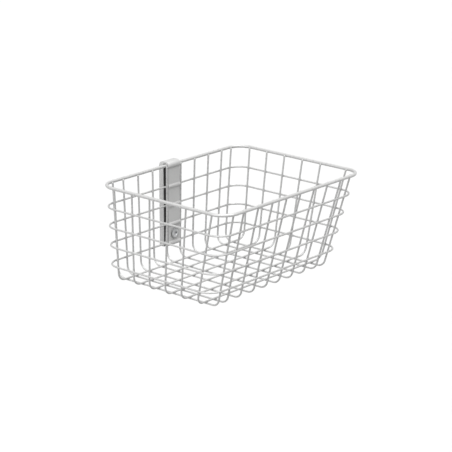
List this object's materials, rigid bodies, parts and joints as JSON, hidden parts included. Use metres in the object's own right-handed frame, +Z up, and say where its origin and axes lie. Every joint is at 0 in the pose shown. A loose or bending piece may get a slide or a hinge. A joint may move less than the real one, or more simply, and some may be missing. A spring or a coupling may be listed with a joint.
{
  "type": "wire basket",
  "caption": "Rectangular welded wire basket with a thick rim, a sloping front wall and a hanger bracket hooked over the rim in the middle of its back wall.",
  "frame": {"origin": "centre of the hanger bracket's flat rear face, which lies against the cart", "axes": "+X along the basket's long side, +Y out of the rear face towards the cart, +Z up"},
  "size_m": [0.255, 0.213, 0.1274],
  "materials": {
    "wire_coat": "light grey powder coat on steel wire, low sheen",
    "bracket_coat": "light grey powder coat, low sheen",
    "pad_rubber": "black, matt",
    "screw_steel": "zinc-plated steel"
  },
  "bodies": {
    "root": {"rim_wire": "wire_coat", "ring_wire_1": "wire_coat", "ring_wire_2": "wire_coat", "ring_wire_3": "wire_coat", "ring_wire_4": "wire_coat", "cross_wire_01": "wire_coat", "cross_wire_02": "wire_coat", "cross_wire_03": "wire_coat", "cross_wire_04": "wire_coat", "cross_wire_05": "wire_coat", "cross_wire_06": "wire_coat", "cross_wire_07": "wire_coat", "cross_wire_08": "wire_coat", "cross_wire_09": "wire_coat", "cross_wire_10": "wire_coat", "long_wire_1": "wire_coat", "long_wire_2": "wire_coat", "long_wire_3": "wire_coat", "long_wire_4": "wire_coat", "long_wire_5": "wire_coat", "long_wire_6": "wire_coat", "hanger_bracket": "bracket_coat", "grip_pad": "pad_rubber", "clamp_screw": "screw_steel"}
  },
  "joints": []
}
